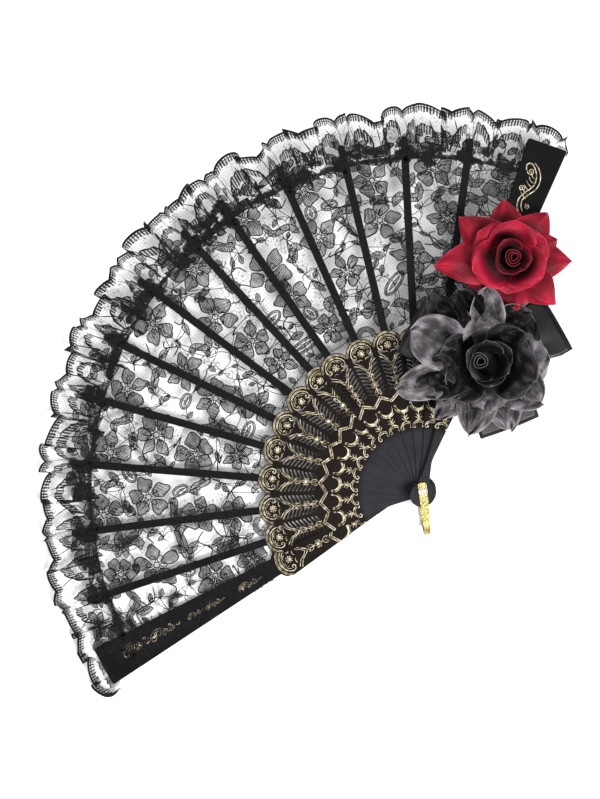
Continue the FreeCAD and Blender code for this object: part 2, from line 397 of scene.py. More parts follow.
def cloth_material(name, dark, mid, pale, roughness, rim_highlight_colour, weave=1500.0, streak=80.0, **sockets):
    """Cloth: random streaks and fine specks of tone, with painted shade darkening a petal's foot, painted
    highlight paling it towards its rim, and a bright painted highlight on the rim edge.
    """
    made = material(name, mid, roughness, **sockets)
    broad = texture(made, "ShaderNodeTexNoise", Scale=streak, Detail=2.0)
    speckle = texture(made, "ShaderNodeTexNoise", Scale=1300.0, Detail=3.0)
    edge = node(made, "ShaderNodeAttribute", attribute_name="hatch")
    total = maths(made, "MULTIPLY", (speckle, "Fac"), 0.2)
    for source in (broad, edge):
        total = maths(made, "MULTIPLY_ADD", (source, "Fac"), 0.4, (total, "Value"))
    # Streaks and specks vary the tone at random; the foot-to-rim value adds painted shade at the foot and
    # painted highlight towards the rim.
    tone_and_painted_light = ramp(made, total, "Value", [(0.44, dark), (0.60, mid), (0.78, pale)])
    # Painted highlight: the rim colour laid along a petal's outermost edge.
    rim = mapped(made, edge, "Fac", From_Min=0.95, From_Max=1.0, To_Max=0.75)
    mix = node(made, "ShaderNodeMix", data_type="RGBA")
    mix.inputs[7].default_value = (*rim_highlight_colour, 1)
    link(made, rim, "Result", mix, "Factor")
    link(made, tone_and_painted_light, "Color", mix, 6)
    link(made, mix, 2, shader_of(made), "Base Color")
    threads = texture(made, "ShaderNodeTexNoise", Scale=weave, Detail=2.0)
    ramp(made, threads, "Fac", [(0.35, grey(roughness * 0.75)), (0.65, grey(roughness * 1.2))], "Roughness")
    bump(made, threads, "Fac", 0.5, 0.0002)
    return made


plastic = plastic_material()
gold_print = print_material()
cord = cord_material()
hatch = hatch_material("lace_petal", 0.30, 0.97, 0.85)
hatch_dense = hatch_material("lace_gathers", 0.62, 0.97)
net = net_material("lace_net", 1.8, 0.07)


# ---- sticks and guards: the CAD shapes, printed ----
PRINT_HEIGHT = 0.12
PRINT_LIFT = 0.005               # above the plastic


def print_strokes(spread=1.0):
    """The print of one stick, in the stick's own plane: u outwards from the rivet, v across it."""
    pile = Pile()

    def line(points, width, mirror=True, taper=0.35):
        for sign in (1, -1) if mirror else (1,):
            pile.draw(np.asarray(points, float) * (1, sign * spread), width, PRINT_HEIGHT, taper=taper)

    def curve(points, count, width, **kind):
        line(smooth_curve(points, count), width, **kind)

    def dot(u, v, radius, count=12, height=0.11):
        pile.add(*filled(ring((u, v), radius, count), height, 2))

    # arch with curled ends along the foot of the print, and the sprig on it
    curve([(39.9, 2.3), (39.0, 2.0), (38.5, 2.9), (39.3, 3.8), (41.1, 3.2), (42.6, 1.5),
           (42.9, 0.0)], 22, 0.42)
    curve([(40.0, 2.9), (41.0, 2.2), (41.7, 1.1), (41.8, 0.0)], 12, 0.34)
    line([(42.9, 0.0), (45.2, 0.0), (47.6, 0.0)], 0.42, mirror=False)
    curve([(43.0, 0.2), (44.5, 1.0), (45.2, 2.3)], 8, 0.34)
    curve([(44.4, 0.1), (46.0, 0.7), (46.9, 1.7)], 8, 0.30)
    dot(47.9, 0.0, 0.45)
    # crescent, open outwards
    swell = 0.30 + 1.05 * np.sin(np.linspace(0, math.pi, 22)) ** 1.5
    line(arc((53.2, 0), 3.7, 95, 265, 22), swell, mirror=False)
    line(arc((53.4, 0), 5.0, 105, 255, 22), 0.30, mirror=False)
    line(spiral((53.6, 4.4), 0.8, 0.2, -150, 400), 0.28)
    # roof of two lines, closed at its ends
    line([(62.4, 0.0), (60.0, 2.9), (57.4, 6.4)], 0.42, taper=0.9)
    line([(60.8, 0.0), (58.8, 2.4), (56.4, 5.7)], 0.42, taper=0.9)
    line([(57.4, 6.4), (56.4, 5.7)], 0.42, taper=0.9)
    line([(61.6, 0.4), (59.4, 2.8), (57.6, 5.3)], 0.22, taper=0.9)
    # garland: a rosette of small petals between two crossed pairs of leaves
    dot(70.0, 0.0, 0.75)
    for turn in range(0, 360, 60):
        a = math.radians(turn)
        line(arc((70.0 + 1.55 * math.cos(a), 1.55 * math.sin(a)), 0.62, 0, 330, 9), 0.26, mirror=False)
    for start, sense in ((67.7, -1), (72.3, 1)):
        for lean in (1, -1):
            tip = (start + sense * 4.9, 1.5 * lean)
            curve([(start, -0.5 * lean), (start + sense * 2.2, 1.5 * lean), tip], 10, 0.26, mirror=False)
            curve([(start, 0.3 * lean), (start + sense * 2.6, 0.1 * lean), tip], 10, 0.24, mirror=False)
    # ogee of two lines under the head
    curve([(77.4, 0.0), (79.3, 1.6), (82.4, 3.4), (85.0, 6.8)], 14, 0.40, taper=0.8)
    curve([(79.3, 0.0), (81.0, 1.6), (83.8, 3.0), (86.2, 6.0)], 14, 0.32, taper=0.8)
    curve([(77.4, 0.0), (75.8, 0.9), (76.4, 1.8)], 8, 0.28)
    # head: fine arcs round the rim, a C with curled ends and a rosette
    for radius, reach, width in ((8.95, 82, 0.26), (8.25, 80, 0.30), (7.1, 44, 0.24)):
        line(arc((DOME_CENTRE, 0), radius, -reach, reach, 30), width, mirror=False)
    curve([(95.9, 0.0), (95.3, 2.9), (93.4, 5.3), (90.6, 6.3), (88.7, 5.4), (88.6, 3.9), (89.8, 3.5),
                       (90.4, 4.4), (89.8, 4.8)], 30, 0.42)
    curve([(94.7, 0.0), (94.2, 2.1), (92.9, 4.1), (91.3, 4.9)], 16, 0.28)
    curve([(93.6, 0.7), (93.2, 2.3), (91.9, 3.4)], 10, 0.26)
    dot(90.2, 0.0, 1.15)
    for turn in range(0, 360, 45):
        a = math.radians(turn)
        dot(90.2 + 1.75 * math.cos(a), 1.75 * math.sin(a), 0.42, 6, 0.10)
    curve([(86.4, 3.6), (86.9, 1.9), (86.0, 0.8)], 8, 0.28)
    return pile


def blade_sprig():
    """A leafy swirl for a guard's blade, about 30 mm long, starting at the origin."""
    pile = Pile()

    def curve(points, count, width):
        pile.draw(smooth_curve(points, count), width, PRINT_HEIGHT)

    curve([(0, 0.6), (3, 2.6), (8, 3.0), (13, 0.4), (18, -2.8), (24, -2.4), (28.5, 0.6), (30, 3.4),
           (28.2, 5.2), (25.2, 4.4)], 44, 0.55)
    curve([(1, -1.6), (4, 0.4), (8, 0.8), (12, -1.8), (17, -5.0), (23, -5.2), (28, -2.6),
           (31, 1.2)], 40, 0.45)
    for curl, width in ((spiral((25.4, 1.6), 2.2, 0.3, 90, 560, 26), 0.45),
                        (spiral((4.6, -2.8), 1.7, 0.3, 60, -520, 24), 0.42),
                        (spiral((14.2, 3.6), 1.9, 0.3, 250, 540, 24), 0.42)):
        pile.draw(curl, width, PRINT_HEIGHT)
    for k in range(6):
        x = 9.0 + 2.5 * k
        rise = 4.2 - 0.35 * abs(k - 2)
        middle_y = rise * 0.4 - 0.5 * k * 0.6
        curve([(x, -0.8 - 0.4 * k), (x + 1.2, middle_y), (x + 3.0, rise - 0.5 * k)], 8, 0.34)
    curve([(-1.5, 0.0), (-4.5, 1.4), (-6.4, 0.2), (-5.2, -1.2)], 14, 0.45)
    return pile


def add_prints():
    piles = (print_strokes(), print_strokes(1.15), blade_sprig())
    narrow, wide, sprig = (pile.arrays()[:2] for pile in piles)
    for i, body in enumerate(BODIES):
        pile = Pile()
        lift = PRINT_Z[i] + PRINT_LIFT
        points, faces = wide if body.endswith("guard") else narrow
        inwards = {"rear_guard": -1.9, "front_guard": 1.9}.get(body, 0.0)
        pile.add(turned(points + (0, inwards, lift), ANGLES[i]), faces)
        if body == "front_guard":
            pile.add(turned(sprig[0] + (176.0, 1.5, lift), ANGLES[i]), sprig[1])
        if body == "rear_guard":
            for start, share in ((113.0, 0.42), (138.0, 0.34), (152.0, 0.30), (170.0, 0.55), (187.0, 0.62)):
                small = sprig[0] * (share, share, 1) + (start, -0.5, LACE_Z[0] + PRINT_LIFT)
                pile.add(turned(small, ANGLES[i]), sprig[1])
        made = mesh_object("gold_print_" + TAGS[i], *pile.arrays()[:2], [gold_print])
        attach(made, body)


for body in BODIES:
    frame["nodes"][body].data.materials[0] = plastic
add_prints()


# ---- lace leaf ----
WORK_IN = 92.0                   # the lace starts here, unless a stick's head hides it


def blend_s(t):
    t = np.clip(t, 0, 1)
    return t * t * (3 - 2 * t)


def panel_place(x, y):
    """Panel number, share of the way across it, radius, for points in the plane."""
    angle = np.degrees(np.arctan2(y, x))
    radius = np.hypot(x, y)
    edges = np.array(ANGLES)
    panel = np.clip(np.searchsorted(-edges, -angle) - 1, 0, STICKS)
    share = (edges[panel] - angle) / (edges[panel] - edges[panel + 1])
    return panel, share, radius


def held_half(i, radius):
    """How far to each side of stick i the lace lies flat on it, in millimetres."""
    inner = np.full_like(radius, RIB_HALF + 0.5)
    guard = 7.6 + (12.8 - 7.6) * (radius - 100.0) / 120.0
    return np.where((i == 0) | (i == STICKS + 1), guard, inner)


def leaf_height(panel, share, radius):
    """The lace climbs from one stick's layer to the next between the two, and sags a little on the way."""
    z = np.array(LACE_Z)
    width = radius * np.radians(np.array(GAPS)[panel])
    start = held_half(panel, radius) / width
    end = 1 - held_half(panel + 1, radius) / width
    t = np.clip((share - start) / (end - start), 0, 1)
    wave = np.sin(math.pi * t) ** 2
    sag = 0.35 * wave * np.sin(radius / 9.0 + panel * 1.7)
    return z[panel] + (z[panel + 1] - z[panel]) * blend_s(t) + sag


def raise_leaf(points, lift):
    out = np.array(points, float)
    panel, share, radius = panel_place(out[:, 0], out[:, 1])
    out[:, 2] = leaf_height(panel, share, radius) + lift + points[:, 2]
    return out


def petal_outline(length, width, count=18, point=0.0, waist=0.12):
    """A petal from the origin along +X: round, or drawn to a point."""
    a = np.linspace(0, 2 * math.pi, count, endpoint=False)
    x = length * (0.5 - 0.5 * np.cos(a))
    drawn = 1 - point * 0.5 * (1 - np.cos(a)) ** 1.5 * 0.5
    foot = waist + (1 - waist) * np.clip(x / length * 1.9, 0, 1) ** 0.6
    y = 0.5 * width * np.sin(a) * drawn * foot
    return np.column_stack([x, y])


def add_petal(pile, outline, heart, turn, at, hatch_turn, cord_width):
    """A hatched petal with a cord round it. hatch_turn is the way its threads run, in radians."""
    points, faces = filled(outline, 0.0, 3, heart)
    threads = points[:, 0] * math.cos(hatch_turn) + points[:, 1] * math.sin(hatch_turn)
    pile.add(turned(points, turn, at), faces, 1, threads)
    pile.draw(outline, cord_width, 0.14, True, turn=turn, at=at)


def flower(pile, at, size, turn, petals=5):
    """A worked flower: uneven hatched petals outside, and a floret of small open cells round a ring."""
    for k in range(petals):
        angle = turn + k * 360.0 / petals + rng.uniform(-9, 9)
        length = size * rng.uniform(0.58, 0.84)
        width = size * 4.0 / petals * rng.uniform(0.80, 1.10)
        base = turned([(size * 0.22, 0.0)], angle, at)[0]
        outline = petal_outline(length, width, 20, rng.uniform(0, 0.7), 0.35)
        wobble = 1 + 0.10 * np.sin(np.linspace(0, 6 * math.pi, len(outline)) + 2.4 * k + turn)
        threads = 0.35 + 0.9 * (k % 2)
        add_petal(pile, outline * wobble[:, None], (length * 0.55, 0), angle, base, threads, 0.66)
        if k % 2:
            vein = smooth_curve([(0.4, 0), (length * 0.35, width * 0.07), (length * 0.62, -width * 0.05)], 7)
            pile.draw(vein, 0.4, 0.15, turn=angle, at=base)
    for k in range(6):
        points, faces = stroke(petal_outline(size * 0.34, size * 0.24, 12, 0.3), 0.52, 0.15, True)
        pile.add(turned(points + (size * 0.12, 0, 0.05), turn + 60 * k + 20, at), faces)
    pile.draw(ring((0, 0), size * 0.12, 12), 0.5, 0.16, True, turn=turn, at=at)


def leaf(pile, at, length, turn, fat):
    outline = petal_outline(length, length * fat, 16, 0.85, 0.05)
    add_petal(pile, outline, (length * 0.45, 0), turn, at, 0.9, 0.45)
    vein = smooth_curve([(-1.2, 0), (length * 0.4, 0.2), (length * 0.85, 0)], 7)
    pile.draw(vein, 0.42, 0.15, turn=turn, at=at)


def band(pile, line, width, scallop=0.0, cord_width=0.55):
    """A hatched band along a line, with a cord down each edge."""
    p = np.asarray(line, float)
    side = sides_of(p)
    run = np.concatenate([[0], np.cumsum(np.linalg.norm(np.diff(p, axis=0), axis=1))])
    fade = np.clip(np.minimum(run, run[-1] - run) / (width * 0.8), 0.15, 1)
    half = width / 2 * fade * (1 + scallop * np.abs(np.sin(run * 0.9)))
    left, right = p + side * half[:, None], p - side * half[:, None] * 0.9
    n = len(p)
    i = np.arange(n - 1)
    points = np.column_stack([np.vstack([left, p, right]), np.zeros(3 * n)])
    faces = [np.column_stack([k + i, k + n + i, k + n + i + 1, k + i + 1]) for k in (0, n)]
    pile.add(points, np.vstack(faces), 1, np.concatenate([run, run + 0.2, run + 0.4]))
    for edge in (left, right):
        pile.draw(edge, cord_width, 0.14)


def lens(pile, at, length, width, turn):
    """A long open cell with a hatched rim."""
    half = smooth_curve([(-length / 2, 0), (-length * 0.22, width * 0.46), (length * 0.25, width * 0.42),
                         (length / 2, 0)], 14)
    for side in (1, -1):
        line = turned(half * (1, side), turn, at)
        band(pile, line, 1.4, cord_width=0.45)
    outline = petal_outline(length * 0.62, width * 0.42, 12, 0.6)
    add_petal(pile, outline - (length * 0.31, 0), (0, 0), turn, at, 1.2, 0.35)


def place_flowers(pile, taken):
    """Four staggered rows of flowers. taken gathers the middle and size of everything that is drawn."""
    flowers = []
    rows = ((113.0, 10.5, 33.0), (137.0, 12.5, 37.0), (164.0, 13.5, 40.0), (191.0, 13.0, 40.0))
    for row, (r, size, pitch) in enumerate(rows):
        step = math.degrees(pitch / r)
        for k in range(int((LEAF_HIGH - LEAF_LOW) / step) + 1):
            a = LEAF_LOW + 2.0 + step * (k + 0.5 * (row % 2)) + rng.uniform(-1.2, 1.2)
            if a > LEAF_HIGH:
                continue
            at = polar(r + rng.uniform(-4, 4), a)
            flowers.append((at, size * rng.uniform(0.88, 1.08), rng.uniform(0, 360)))
    for at, size, turn in flowers:
        flower(pile, at, size, turn, 5 if rng.random() < 0.7 else 6)
        taken.append((at, size * 1.02))
    return flowers


def leafy_stem(pile, taken, line):
    """A cord with a leaf to each side, where there is room for them."""
    pile.draw(line, 0.75, 0.15)
    for k, share in enumerate((0.3, 0.6)):
        n = int(share * 17)
        p = line[n]
        heading = math.degrees(math.atan2(*(line[n + 1] - p)[::-1]))
        length = rng.uniform(5.5, 10.5)
        lean = 55 if k % 2 else -55
        tip = p + length * polar(1.0, heading + lean)
        if all(np.hypot(*(tip - c)) > r * 0.95 for c, r in taken):
            leaf(pile, p, length, heading + lean, rng.uniform(0.45, 0.8))
            taken.append(((p + tip) / 2, length * 0.45))
    taken.append((line[9], 2.5))


def add_stem(pile, taken, a, size_a, b, size_b):
    """A band, a long cell or a leafy stem between two flowers, if they aren't too far apart."""
    d = b - a
    span = np.hypot(*d)
    if span > 52:
        return
    d = d / span
    across = np.array([-d[1], d[0]]) * rng.choice([-1, 1])
    start, end = a + d * size_a * 0.9, b - d * size_b * 0.9
    bow = rng.uniform(3, 6.5)
    line = smooth_curve([start, start * 0.67 + end * 0.33 + across * bow,
                         start * 0.33 + end * 0.67 - across * bow * 0.4, end], 18)
    kind = rng.random()
    if kind < 0.45:
        band(pile, line, rng.uniform(3.2, 4.8), scallop=0.25)
        taken.extend((line[n], 2.6) for n in (3, 6, 9, 12, 15))
    elif kind < 0.55 and span < 40:
        heading = math.degrees(math.atan2(d[1], d[0]))
        lens(pile, (a + b) / 2, max(span - size_a - size_b + 3, 9.0), 6.0, heading)
        taken.append(((a + b) / 2, 4.5))
    else:
        leafy_stem(pile, taken, line)


def fill_gaps(pile, taken):
    """Curls, long cells and small leaves in the gaps."""
    for _ in range(5200):
        r = math.sqrt(rng.uniform(LEAF_IN ** 2, (LEAF_OUT - 1) ** 2))
        at = polar(r, rng.uniform(LEAF_LOW, LEAF_HIGH))
        free = min(np.hypot(*(at - c)) - size for c, size in taken)
        if free < 2.6:
            continue
        turn = rng.uniform(0, 360)
        if free > 6.0:
            line = turned(spiral((0, 0), 5.6, 3.4, 0, 265, 22), turn, at)
            band(pile, line, rng.uniform(2.4, 3.6), scallop=0.35, cord_width=0.5)
            taken.append((at, 7.0))
        elif free > 4.2 and rng.random() < 0.3:
            lens(pile, at, 10.5, 5.0, turn)
            taken.append((at, 6.0))
        else:
            line = turned([(-4.2, 0), (-1.5, 0.9), (1.5, -0.9), (4.2, 0)], turn, at)
            pile.draw(smooth_curve(line, 9), 0.5, 0.14)
            leaf(pile, at + rng.uniform(-1, 1, 2), rng.uniform(4.0, 6.0), turn + 70, 0.75)
            taken.append((at, 3.9))


def tie_pieces(pile, taken):
    """Fine bars that tie every piece to its neighbours."""
    spots = np.array([c for c, _ in taken])
    for i, (at, size) in enumerate(taken):
        far = np.hypot(*(spots - at).T)
        for j in [k for k in np.argsort(far)[1:7] if k > i and far[k] > size + taken[k][1] - 1.0][:3]:
            mid = (at + spots[j]) / 2 + rng.uniform(-1.6, 1.6, 2)
            pile.draw(smooth_curve([at, mid, spots[j]], 9), 0.42, 0.13, taper=1.0)


def lace_pattern():
    """The worked lace of the whole leaf, flat."""
    pile = Pile()
    taken = []
    flowers = place_flowers(pile, taken)
    done = set()
    for i, (a, size_a, _) in enumerate(flowers):
        near = sorted(range(len(flowers)), key=lambda j: np.hypot(*(flowers[j][0] - a)))[1:5]
        for j in near:
            pair = (min(i, j), max(i, j))
            if pair not in done:
                done.add(pair)
                add_stem(pile, taken, a, size_a, *flowers[j][:2])
    fill_gaps(pile, taken)
    tie_pieces(pile, taken)
    return pile


def in_leaf(centres):
    """Which faces lie on the leaf: between its two arcs and inside the guards' free edges."""
    angle = np.degrees(np.arctan2(centres[:, 1], centres[:, 0]))
    radius = np.hypot(centres[:, 0], centres[:, 1])
    inside = (radius > WORK_IN) & (radius < LEAF_OUT) & (angle > LEAF_LOW) & (angle < LEAF_HIGH)
    for a in ANGLES:
        c = polar(DOME_CENTRE, a)
        inside &= np.hypot(centres[:, 0] - c[0], centres[:, 1] - c[1]) > DOME_RADIUS + 0.3
    return inside


def leaf_net(i):
    """The net of one panel: from one stick's middle to the next, or to a guard's free edge."""
    high_a = ANGLES[i] + (LEAF_PAST if i == 0 else 0)
    low_a = ANGLES[i + 1] - (LEAF_PAST if i == STICKS else 0)
    cols, rows = 26, 44
    angle, radius = np.meshgrid(np.linspace(high_a, low_a, cols), np.linspace(NET_IN, LEAF_OUT, rows))
    a = np.radians(angle.ravel())
    r = radius.ravel()
    flat = np.column_stack([r * np.cos(a), r * np.sin(a), np.zeros(len(a))])
    faces = grid_faces(rows, cols)
    return raise_leaf(flat, 0.03), faces[in_leaf(flat[faces].mean(1))]


def used_only(points, faces, *more):
    keep = np.unique(faces)
    index = np.zeros(len(points), int)
    index[keep] = np.arange(len(keep))
    return (points[keep], index[faces], *[m[keep] for m in more])


def add_leaf():
    points, faces, slots, hatches = lace_pattern().arrays()
    centres = points[faces].mean(1)
    keep = in_leaf(centres)
    faces, slots, centres = faces[keep], slots[keep], centres[keep]
    raised = raise_leaf(points, 0.06)
    panel, _, _ = panel_place(centres[:, 0], centres[:, 1])
    for i in range(STICKS + 1):
        tag = "%02d" % (i + 1)
        net_points, net_faces = used_only(*leaf_net(i))
        ground = mesh_object("lace_net_" + tag, net_points, net_faces, [net])
        mine = panel == i
        p, f, h = used_only(raised, faces[mine], hatches)
        work = mesh_object("lace_flowers_" + tag, p, f, [cord, hatch], slots[mine], h)
        for piece in (ground, work):
            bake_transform(piece)
        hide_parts("lace_leaf_" + TAGS[i])
        if i == STICKS:
            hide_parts("lace_leaf_front")


add_leaf()

# ---- gathered frill, made in the cloth's own plane (s along the strip, t outwards) and then ruffled ----
GATHER = 1.3                     # cloth length over arc length
RUFFLES = 2.3                    # ruffles in one panel
SCALLOP = 13.5                   # along the cloth
FRILL_DEPTH = FRILL_OUT - FRILL_IN
FRILL_ENDS = (4.6, 3.7)          # degrees past the rear and the front guard's middle
CORNER = 9.0                     # along the cloth, over which the edge rounds the frill's ends
GUARD_TIP = 22.0                 # across the cloth, where it comes out past a guard
FRILL_MIDDLE = 215.0             # the radius at which the gathering is measured


def wander(x, seed):
    """A smooth irregular wave between about -1 and 1."""
    slow, middling = np.sin(x * 1.7 + seed), np.sin(x * 3.1 + 2.3 * seed)
    return (slow + middling * 0.7 + np.sin(x * 5.9 + 4.1 * seed) * 0.4) / 1.6


def ruffle(panel, s, t, arc_length, tier):
    """From cloth (s, t) in one panel to space. tier holds the strip's radii, height and how far it folds."""
    u = s / (arc_length * GATHER)
    gap = GAPS[panel]
    along = panel + u
    ends = [3.5 if k in (0, STICKS + 1) else 0.75 for k in (panel, panel + 1)]
    clear = np.clip((u * gap - ends[0]) / (gap - ends[0] - ends[1]), 0, 1)
    free = np.sin(math.pi * clear) ** 0.5
    past = np.clip((t - GUARD_TIP) / 8.0, 0, 1)
    rear = np.where((panel == 0) & (u < ends[0] / gap), past, 0.0)
    front = np.where((panel == STICKS) & (u > 1 - ends[1] / gap), past, 0.0)
    beyond = rear + front
    free = np.maximum(free, beyond * 0.8)
    out = t / FRILL_DEPTH
    phase = 2 * math.pi * tier["ruffles"] * along + 1.1 * np.sin(2.1 * along) + tier["phase"]
    swing = tier["swing"] * free * (0.75 + 0.5 * out) * np.sin(phase)
    outer = tier["outer"] + tier["ragged"] * wander(along * 2.2, 3.0) * free
    radius = tier["inner"] + (outer - tier["inner"]) * out
    radius = radius - tier["nip"] * free * out * (0.5 + 0.5 * np.sin(phase * 0.5 + 0.8)) ** 3
    angle = np.radians(ANGLES[panel] - gap * u) - swing / radius
    z = np.array(LACE_Z)
    base = z[panel] + (z[panel + 1] - z[panel]) * blend_s(clear)
    rise = tier["rise"] * free * (0.35 + 0.65 * out) * (0.5 + 0.5 * np.sin(phase + 1.15))
    return np.column_stack([radius * np.cos(angle), radius * np.sin(angle), base + tier["lift"] + rise])


OUTER_TIER = dict(inner=FRILL_IN, outer=FRILL_OUT - 2.0, ruffles=RUFFLES, phase=0.0, swing=4.6, rise=5.0,
                  ragged=2.6, nip=5.0, lift=0.05)
HEADING_TIER = dict(inner=192.0, outer=215.0, ruffles=4.6, phase=1.0, swing=3.0, rise=3.6,
                    ragged=2.0, nip=3.0, lift=0.10)


def strip(pile, s, inner, outer, rows, slot, hatch_by):
    """A hatched strip between two edges over the same stretch of cloth."""
    levels = np.linspace(0, 1, rows)
    t = inner[None, :] + (outer - inner)[None, :] * levels[:, None]
    along = np.broadcast_to(s, t.shape)
    pile.surface(along, t, np.zeros(t.shape), slot, along if hatch_by == "s" else t)


def scallops(start, end):
    """Where one scallop ends and the next starts, unevenly spaced."""
    count = max(int(round((end - start) / SCALLOP)), 1)
    marks = np.linspace(start, end, count + 1)
    marks[1:-1] += rng.uniform(-1.8, 1.8, count - 1)
    return marks


def scallop_edge(s, marks, length):
    """How far out the scalloped edge lies at s. Past a guard it rounds the corner to the guard's tip."""
    k = np.clip(np.searchsorted(marks, s, side="right") - 1, 0, len(marks) - 2)
    share = (s - marks[k]) / (marks[k + 1] - marks[k])
    deep = 3.2 + 1.9 * np.abs(np.sin(k * 2.3 + marks[0]))
    edge = FRILL_DEPTH - deep * (1 - np.abs(np.sin(math.pi * share)) ** 0.75)
    inward = 1.0
    if marks[0] < 0:
        inward = np.clip((s - marks[0]) / CORNER, 0, 1)
    if marks[-1] > length + 1:
        inward = np.clip((marks[-1] - s) / CORNER, 0, 1)
    return GUARD_TIP + (edge - GUARD_TIP) * np.sqrt(1 - (1 - inward) ** 2)


def frill_rim(pile, s, edge):
    """The comb-like rim of one scallop, with its two cords."""
    teeth = 4.4 + 0.9 * (np.arange(21) % 2) + 0.6 * wander(s, 1.0)
    strip(pile, s, np.maximum(edge - teeth, GUARD_TIP - 3.0), edge, 4, 1, "s")
    pile.draw(np.column_stack([s, edge - 0.3]), 1.3, 0.16, taper=1.0)
    pile.draw(np.column_stack([s, edge - 2.1]), 0.5, 0.12, taper=1.0)


def frill_fan(pile, a, w, middle):
    """A fan inside one scallop, with petals and two threads."""
    top = rng.uniform(21.0, 26.0)
    foot = 5.0
    half = w * rng.uniform(0.38, 0.5)
    fan = np.linspace(middle - half, middle + half, 15)
    dome = foot + (top - foot) * np.sqrt(np.clip(1 - ((fan - middle) / half) ** 2, 0, 1))
    dome = dome + 0.8 * np.sin(np.arange(15) * 2.2) * (dome > foot + 3)
    strip(pile, fan, np.maximum(dome - rng.uniform(4.0, 7.0), foot), dome, 4, 1, "s")
    pile.draw(np.column_stack([fan, dome]), 0.65, 0.15, taper=1.0)
    for k in range(5):
        at = (middle + (k - 2) * w * 0.19 + rng.uniform(-1, 1), rng.uniform(4.0, 14.0))
        size = rng.uniform(4.5, 8.5)
        outline = petal_outline(size, size * 0.66, 12, 0.5)
        add_petal(pile, outline, (size / 2, 0), rng.uniform(30, 150), at, rng.uniform(0, 3), 0.5)
    for k in range(2):
        line = smooth_curve([(a + w * (k + 0.2) / 2, 4.0), (a + w * (k + 0.5) / 2 + rng.uniform(-2, 2), 12.0),
                             (a + w * (k + 0.1) / 2, top + 3.0)], 9)
        pile.draw(line, 0.38, 0.13)


def frill_work(marks, length):
    """Cords and hatching of the frill, flat: a rim, an open band, and fans and cells inside it."""
    pile = Pile()
    for a, b in zip(marks[:-1], marks[1:]):
        w = b - a
        s = (a + b) / 2 - (b - a) / 2 * np.cos(np.linspace(0, math.pi, 21))
        frill_rim(pile, s, scallop_edge(np.clip(s, a + 1e-6, b - 1e-6), marks, length))
        middle = (a + b) / 2 + rng.uniform(-1.5, 1.5)
        if 0 <= middle <= length:
            frill_fan(pile, a, w, middle)
            continue
        s = s[np.abs(s - middle) < w * 0.36]
        strip(pile, s, np.full_like(s, GUARD_TIP - 4.0), GUARD_TIP + 2.6 + 0.8 * wander(s, 2.0), 4, 1, "s")
        pile.draw(np.column_stack([s, GUARD_TIP + 2.8 + 0.8 * wander(s, 2.0)]), 0.6, 0.14)
    s = np.linspace(0, length, int(length / 1.3) + 2)
    strip(pile, s, np.zeros_like(s), np.full_like(s, 3.0) + 2.2 * wander(s * 0.4, 4.0), 3, 2, "s")
    return pile


def heading_work(start, end):
    """The gathered heading: knots of crowded petals near the ribs, where the folds read dark."""
    pile = Pile()
    s = np.linspace(start, end, int((end - start) / 1.1) + 2)
    strip(pile, s, 10.5 + 0.8 * wander(s * 0.3, 2.0), 13.5 + 1.6 * wander(s * 0.25, 5.0), 3, 2, "t")
    length = end - start
    for middle, crowd in ((start + 1.0, 9), (start + length * rng.uniform(0.3, 0.7), 11), (end - 1.0, 9)):
        reach = rng.uniform(5.0, 9.0)
        for _ in range(crowd):
            size = rng.uniform(5.0, 8.5)
            along = np.clip(middle + rng.normal(0, reach * 0.6), start, end - 1)
            at = (along, rng.uniform(7, 21) + reach * 0.3)
            outline = petal_outline(size * 1.3, size, 12, 0.4)
            points, faces = filled(outline, 0.0, 3, (size * 0.7, 0))
            turn = rng.uniform(0, 360)
            pile.add(turned(points, turn, at), faces, 2, points[:, 0] * 0.7 + points[:, 1] * 0.7)
            pile.draw(outline, 0.6, 0.14, True, turn=turn, at=at)
    return pile


def hem(s, length):
    """Where the cloth starts: past a guard's middle it is cut away, up to near the guard's tip."""
    return 20.0 * np.clip(np.maximum(-s, s - length) / 14.0, 0, 1)


def frill_sheet(marks, length):
    """The frill's net, flat, out to just inside the scallops' cord."""
    s = np.linspace(marks[0], marks[-1], int((marks[-1] - marks[0]) / 1.5) + 2)
    edge = scallop_edge(np.clip(s, marks[0] + 1e-6, marks[-1] - 1e-6), marks, length)
    pile = Pile()
    strip(pile, s, np.minimum(hem(s, length), edge - 0.8), edge - 0.3, 12, 0, "s")
    return pile


def shaped(i, pile, tier, arc_length):
    """A flat pile of panel i, ruffled."""
    points, faces, slots, threads = pile.arrays()
    where = ruffle(i, points[:, 0], points[:, 1], arc_length, tier)
    where[:, 2] += points[:, 2]
    return where, faces, slots, threads


def add_frill():
    for i in range(STICKS + 1):
        tag = "%02d" % (i + 1)
        arc_length = math.radians(GAPS[i]) * FRILL_MIDDLE
        length = arc_length * GATHER
        per_degree = arc_length * GATHER / GAPS[i]
        start = -FRILL_ENDS[0] * per_degree if i == 0 else 0.0
        end = length + (FRILL_ENDS[1] * per_degree if i == STICKS else 0.0)
        marks = scallops(start, end)
        cloth = frill_sheet(marks, length)
        flat_area = surface_area(*cloth.arrays()[:2]) * MM * MM
        p, f, _, _ = shaped(i, cloth, OUTER_TIER, arc_length)
        ground = mesh_object("frill_net_" + tag, p, f, [net])
        pieces = [ground]
        for name, flat, tier in (
                ("frill_work_", frill_work(marks, length), dict(OUTER_TIER, lift=0.09)),
                ("frill_heading_", heading_work(max(start, -2.0), min(end, length + 2.0)), HEADING_TIER)):
            p, f, slots, threads = shaped(i, flat, tier, arc_length)
            pieces.append(mesh_object(name + tag, p, f, [cord, hatch, hatch_dense], slots, threads))
        for piece in pieces:
            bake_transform(piece)
        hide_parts("lace_frill_" + TAGS[i])
        if i == STICKS:
            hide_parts("lace_frill_front")


# ---- flowers ----
PETAL_GRID = 21                  # points along and across a petal


